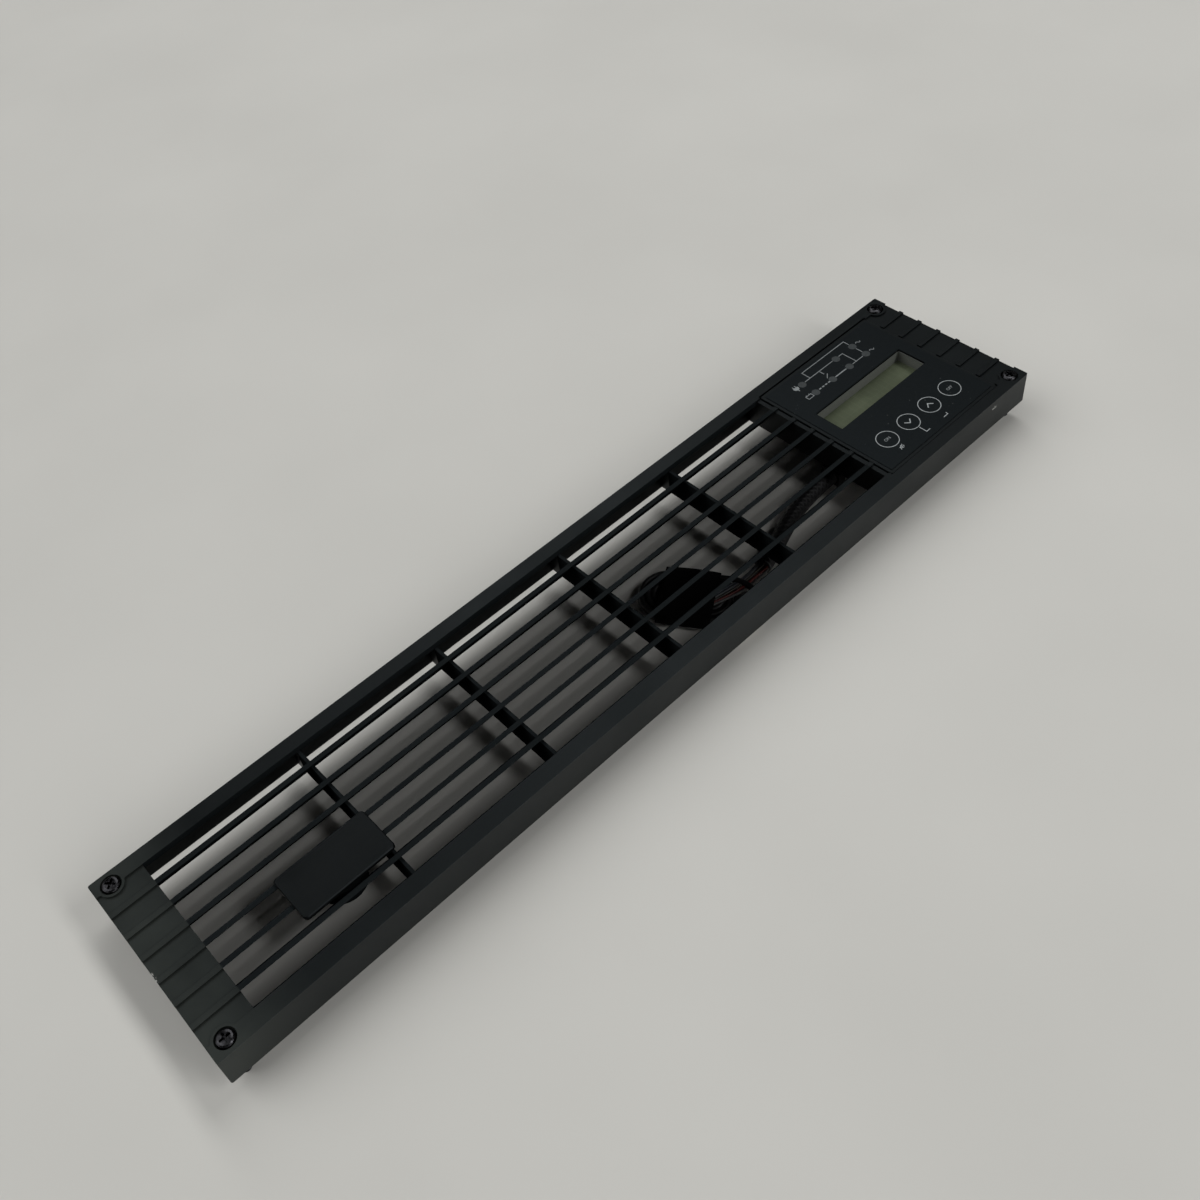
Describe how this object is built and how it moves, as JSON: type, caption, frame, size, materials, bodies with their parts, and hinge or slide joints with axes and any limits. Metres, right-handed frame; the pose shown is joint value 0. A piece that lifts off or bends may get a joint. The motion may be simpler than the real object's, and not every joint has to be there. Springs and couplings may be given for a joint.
{
  "type": "ups front bezel",
  "caption": "Black louvred front bezel of a rack UPS, with corner screws, a turning badge and a snap-in control module with display, keys and a tied wire harness.",
  "frame": {"origin": "middle of the bezel on the table that the screw points stand on", "axes": "+X along the length towards the control module, +Y towards the upper edge when racked, +Z out of the front"},
  "size_m": [0.438, 0.088, 0.0265],
  "materials": {
    "black_moulding": "fine matt texture",
    "black_steel": "glossy black",
    "black_nylon": "matt",
    "badge_plastic": "satin",
    "printed_film": "satin print",
    "clear_window": "clear",
    "grey_plastic": "matt",
    "display_green": "satin",
    "circuit_board": "satin",
    "plated_steel": "plated",
    "lamp_plastic": "clear, unlit",
    "white_nylon": "matt",
    "cable_sleeve": "satin sleeve"
  },
  "bodies": {
    "bezel": {"bezel": "black_moulding", "corner_screws": "black_steel", "screw_retainers": "black_nylon", "module_housing": "black_moulding", "module_cover": "black_moulding", "overlay_film": "printed_film", "display_window": "clear_window", "display_frame": "grey_plastic", "display_glass": "display_green", "display_backlight": "grey_plastic", "display_board": "circuit_board", "display_header": "black_nylon", "display_spacers": "black_nylon", "control_board": "circuit_board", "board_screws": "plated_steel", "controller_chip": "black_nylon", "status_lamps": "lamp_plastic", "lamp_spacers": "black_nylon", "key_switches": "black_nylon", "harness_socket": "white_nylon", "harness_plug": "black_nylon", "harness_cable": "cable_sleeve", "harness_hank": "cable_sleeve", "hank_tie": "black_nylon", "harness_connector": "white_nylon"},
    "badge": {"badge_plate": "badge_plastic", "badge_clip": "black_nylon"},
    "on_key": {"on_key": "black_moulding"},
    "down_key": {"down_key": "black_moulding"},
    "up_key": {"up_key": "black_moulding"},
    "off_key": {"off_key": "black_moulding"}
  },
  "joints": [
    {"name": "badge_turn", "type": "hinge", "parent": "bezel", "child": "badge", "pos_m": [-0.1518, -0.0143, 0.0248], "axis": [0, 0, 1], "range_deg": [-90, 0]},
    {"name": "on_key_press", "type": "slide", "parent": "bezel", "child": "on_key", "axis": [0, 0, -1], "range_m": [0, 0.0003], "stiffness_N_per_m": 3000},
    {"name": "down_key_press", "type": "slide", "parent": "bezel", "child": "down_key", "axis": [0, 0, -1], "range_m": [0, 0.0003], "stiffness_N_per_m": 3000},
    {"name": "up_key_press", "type": "slide", "parent": "bezel", "child": "up_key", "axis": [0, 0, -1], "range_m": [0, 0.0003], "stiffness_N_per_m": 3000},
    {"name": "off_key_press", "type": "slide", "parent": "bezel", "child": "off_key", "axis": [0, 0, -1], "range_m": [0, 0.0003], "stiffness_N_per_m": 3000}
  ]
}
